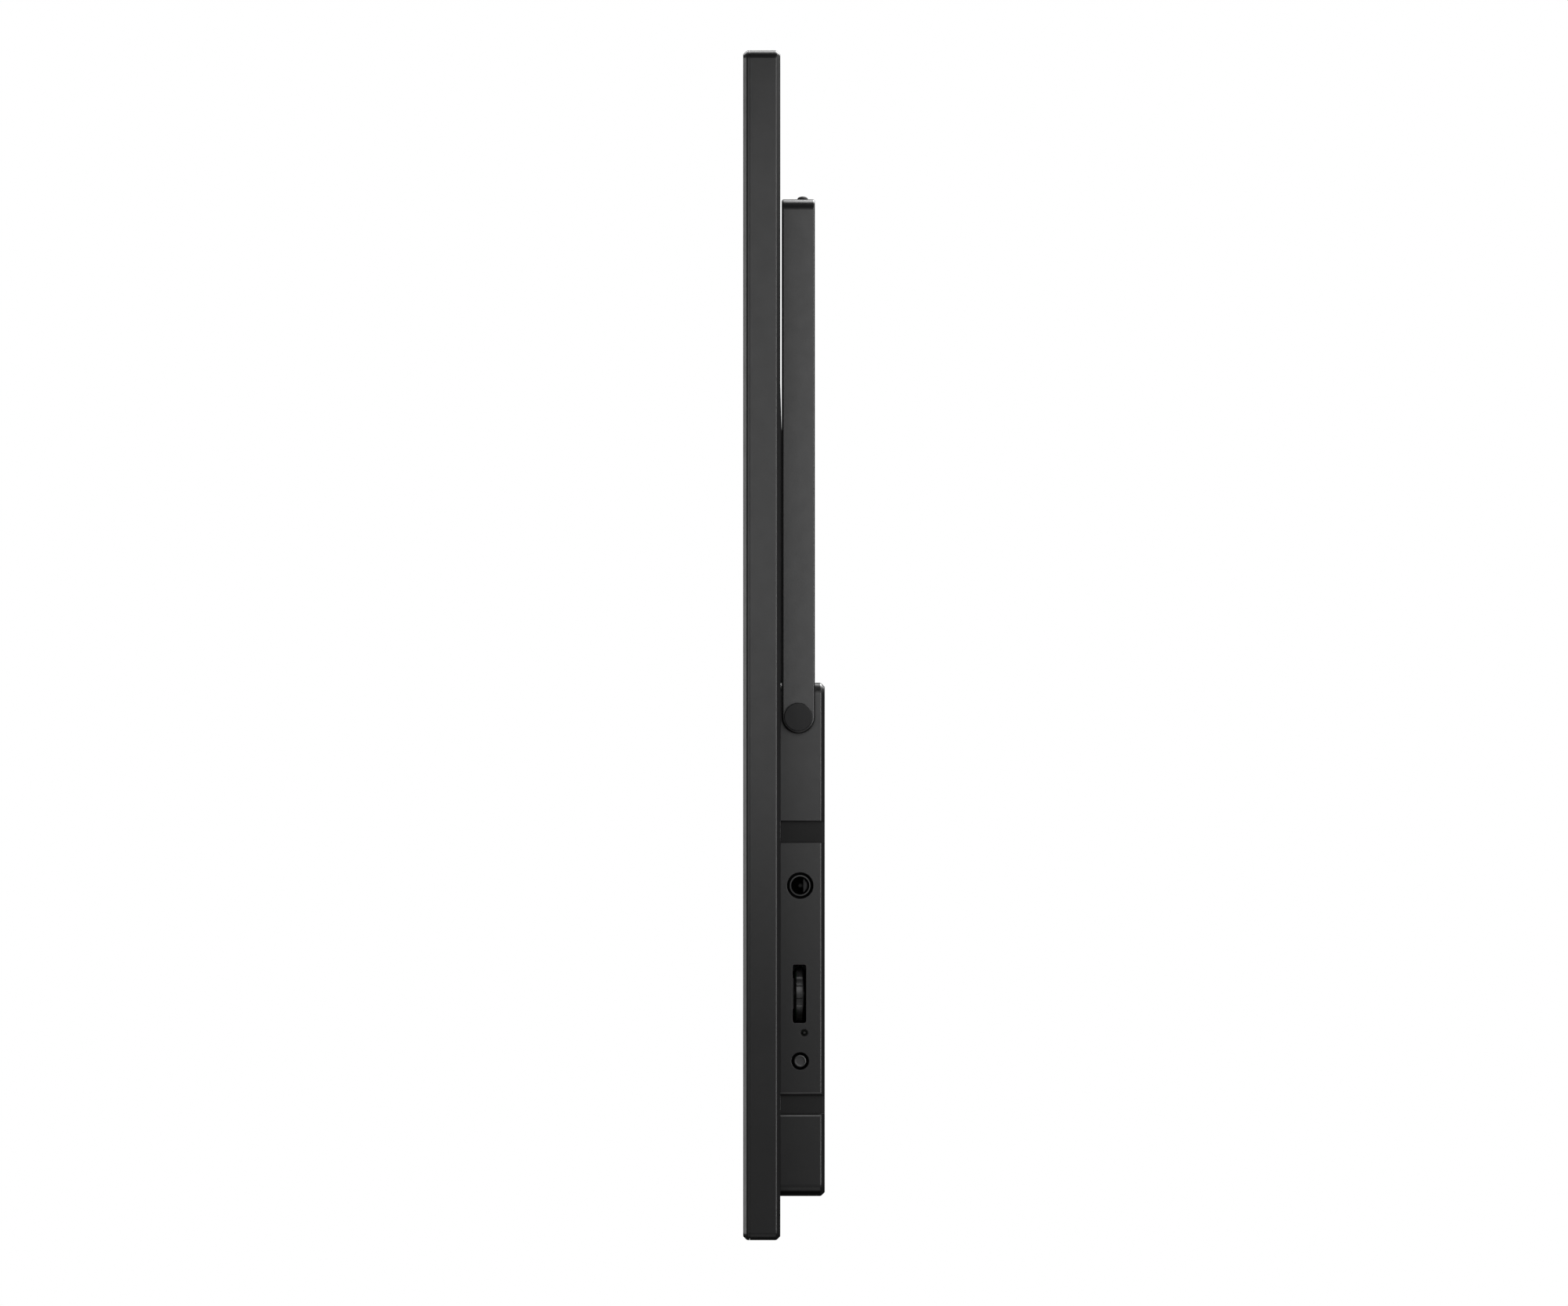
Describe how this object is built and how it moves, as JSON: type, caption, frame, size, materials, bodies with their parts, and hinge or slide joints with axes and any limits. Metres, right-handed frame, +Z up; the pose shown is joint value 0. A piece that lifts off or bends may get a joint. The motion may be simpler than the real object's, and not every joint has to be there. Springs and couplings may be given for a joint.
{
  "type": "led panel light",
  "caption": "Slim rectangular edge-lit studio light panel with a control box on its back and a flat strap yoke that tilts about the sides of the box.",
  "frame": {"origin": "centre of the yoke's stand thread, on the crossbar's outer face; the light is held up here, with the yoke folded up behind the panel as in the picture", "axes": "+Z up, out of the crossbar's outer face; -Y is the way the panel shines; +X is the side with the power socket, thumbwheel and button"},
  "size_m": [0.26, 0.0298, 0.432],
  "materials": {
    "shell_plastic": "fine matt moulded black",
    "yoke_coat": "satin black powder coat on steel strap",
    "trim_plastic": "satin black",
    "rubber": "matt",
    "diffuser_opal": "opal acrylic, fine matt face",
    "guide_acrylic": "clear polished acrylic",
    "reflector_film": "white film",
    "spreader_aluminium": "mill finish",
    "bright_steel": "zinc plated",
    "black_screws": "black oxide",
    "insert_brass": "machined",
    "foam": "open-cell foam",
    "circuit_board": "green solder mask",
    "led_board": "white solder mask",
    "indicator_lens": "milky light pipe",
    "white_plastic": "natural nylon",
    "lead_wire": "soft insulation"
  },
  "bodies": {
    "yoke": {"yoke": "yoke_coat", "stand_insert": "insert_brass", "yoke_foot_left": "rubber", "yoke_foot_right": "rubber"},
    "head": {"front_bezel": "shell_plastic", "rear_shell": "shell_plastic", "diffuser": "diffuser_opal", "light_guide": "guide_acrylic", "reflector_sheet": "reflector_film", "heat_spreader": "spreader_aluminium", "led_strip_left": "led_board", "led_strip_right": "led_board", "foam_pad": "foam", "shell_screw_1": "black_screws", "shell_screw_2": "black_screws", "shell_screw_3": "black_screws", "shell_screw_4": "black_screws", "shell_screw_5": "black_screws", "shell_screw_6": "black_screws", "shell_screw_7": "black_screws", "shell_screw_8": "black_screws", "control_box": "shell_plastic", "box_screw_1": "black_screws", "box_screw_2": "black_screws", "box_screw_3": "black_screws", "box_screw_4": "black_screws", "control_board": "circuit_board", "controller_chip": "trim_plastic", "driver_inductor": "trim_plastic", "driver_capacitor_1": "spreader_aluminium", "driver_capacitor_2": "spreader_aluminium", "driver_heatsink": "spreader_aluminium", "lead_connector": "white_plastic", "led_lead_left": "lead_wire", "led_lead_right": "lead_wire", "dc_socket": "trim_plastic", "dc_socket_pin": "bright_steel", "dc_socket_contact": "bright_steel", "dimmer_pot": "trim_plastic", "indicator_lens": "indicator_lens", "indicator_led": "white_plastic", "power_switch": "trim_plastic", "pivot_screw_left": "bright_steel", "pivot_screw_right": "bright_steel", "pivot_cap_left": "trim_plastic", "pivot_cap_right": "trim_plastic", "friction_washer_left": "rubber", "friction_washer_right": "rubber", "spring_washer_left": "bright_steel", "spring_washer_right": "bright_steel", "pivot_nut_left": "bright_steel", "pivot_nut_right": "bright_steel"},
    "dimmer": {"dimmer_wheel": "trim_plastic"},
    "button": {"power_button": "trim_plastic"}
  },
  "joints": [
    {"name": "head_tilt", "type": "hinge", "parent": "yoke", "child": "head", "pos_m": [0, 0, -0.1885], "axis": [1, 0, 0], "range_deg": [0, 180]},
    {"name": "dimmer_turn", "type": "hinge", "parent": "head", "child": "dimmer", "pos_m": [0.0662, 0.00035, -0.2893], "axis": [0, 1, 0], "range_deg": [-135, 135]},
    {"name": "button_press", "type": "slide", "parent": "head", "child": "button", "axis": [-1, 0, 0], "range_m": [0, 0.0005], "stiffness_N_per_m": 300, "springref_m": -0.001}
  ]
}
